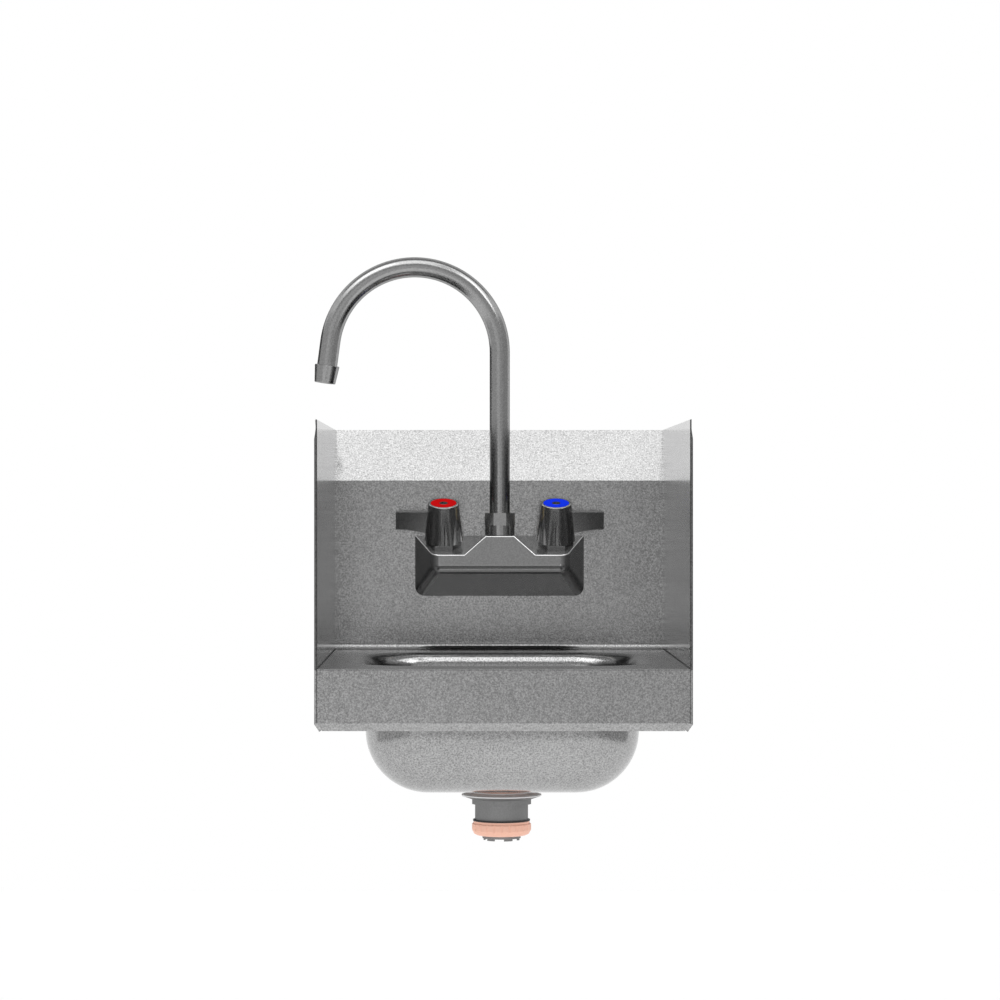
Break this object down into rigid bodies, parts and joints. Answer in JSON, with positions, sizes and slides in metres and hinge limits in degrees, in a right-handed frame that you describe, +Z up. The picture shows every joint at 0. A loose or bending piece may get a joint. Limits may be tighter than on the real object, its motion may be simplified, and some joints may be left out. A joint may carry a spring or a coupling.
{
  "type": "wall-hung hand basin",
  "caption": "Wall-hung stainless hand basin with side splashes, a backsplash-mounted swivel gooseneck faucet with lever handles, and a strainer drain.",
  "frame": {"origin": "on the wall plane, in the middle of the hanging bracket's screw line (back face of the bracket)", "axes": "+X to the viewer's right along the wall, +Y into the wall, +Z up"},
  "size_m": [0.3201, 0.387, 0.5106],
  "materials": {
    "stainless_sheet": "fine bead-blasted satin",
    "stainless_bracket": "plain mill finish",
    "satin_tube": "satin, brushed along the tube",
    "chrome_casting": "polished plating on a smooth casting",
    "chrome_handle": "polished plating",
    "chrome_fitting": "polished plating",
    "brass_fitting": "plain machined",
    "steel_screw": "plain machined",
    "red_index": "smooth moulded",
    "blue_index": "smooth moulded",
    "black_rubber": "matte",
    "white_ceramic": "lapped",
    "white_acetal": "smooth moulded",
    "drain_steel": "satin",
    "drain_gasket": "matte",
    "slip_nut_plastic": "moulded, satin"
  },
  "bodies": {
    "basin": {"basin_top": "stainless_sheet", "left_side_splash": "stainless_sheet", "right_side_splash": "stainless_sheet", "bowl": "stainless_sheet", "wall_bracket": "stainless_bracket", "faucet_body": "chrome_casting", "shank_washers": "black_rubber", "shank_locknuts": "brass_fitting", "spout_nut": "chrome_fitting", "spout_thrust_washer": "white_acetal", "strainer_body": "drain_steel", "strainer_plate": "drain_steel", "drain_gasket": "drain_gasket", "drain_locknut": "drain_steel", "slip_ring": "drain_steel", "slip_nut": "slip_nut_plastic", "slip_washer": "white_acetal", "tail_sleeve": "drain_steel", "hot_inlet_shank": "brass_fitting", "hot_bonnet": "chrome_fitting", "hot_cartridge": "brass_fitting", "hot_seat_seal": "black_rubber", "hot_fixed_disc": "white_ceramic", "cold_inlet_shank": "brass_fitting", "cold_bonnet": "chrome_fitting", "cold_cartridge": "brass_fitting", "cold_seat_seal": "black_rubber", "cold_fixed_disc": "white_ceramic"},
    "hot_control": {"hot_stem": "brass_fitting", "hot_moving_disc": "white_ceramic", "hot_handle": "chrome_handle", "hot_handle_screw": "steel_screw", "hot_index_ring": "red_index"},
    "cold_control": {"cold_stem": "brass_fitting", "cold_moving_disc": "white_ceramic", "cold_handle": "chrome_handle", "cold_handle_screw": "steel_screw", "cold_index_ring": "blue_index"},
    "swivel_spout": {"spout_sleeve": "brass_fitting", "spout_o_rings": "black_rubber", "spout_tube": "satin_tube", "aerator_collar": "satin_tube", "aerator_insert": "white_acetal", "aerator_washer": "black_rubber"}
  },
  "joints": [
    {"name": "hot_handle_turn", "type": "hinge", "parent": "basin", "child": "hot_control", "pos_m": [-0.0508, -0.054, -0.06453], "axis": [0, -0.342, 0.9397], "range_deg": [0, 90]},
    {"name": "cold_handle_turn", "type": "hinge", "parent": "basin", "child": "cold_control", "pos_m": [0.0508, -0.054, -0.06453], "axis": [0, -0.342, 0.9397], "range_deg": [-90, 0]},
    {"name": "spout_swivel", "type": "hinge", "parent": "basin", "child": "swivel_spout", "pos_m": [0, -0.057, -0.05579], "axis": [0, 0, 1], "range_deg": [-15, 195]}
  ]
}
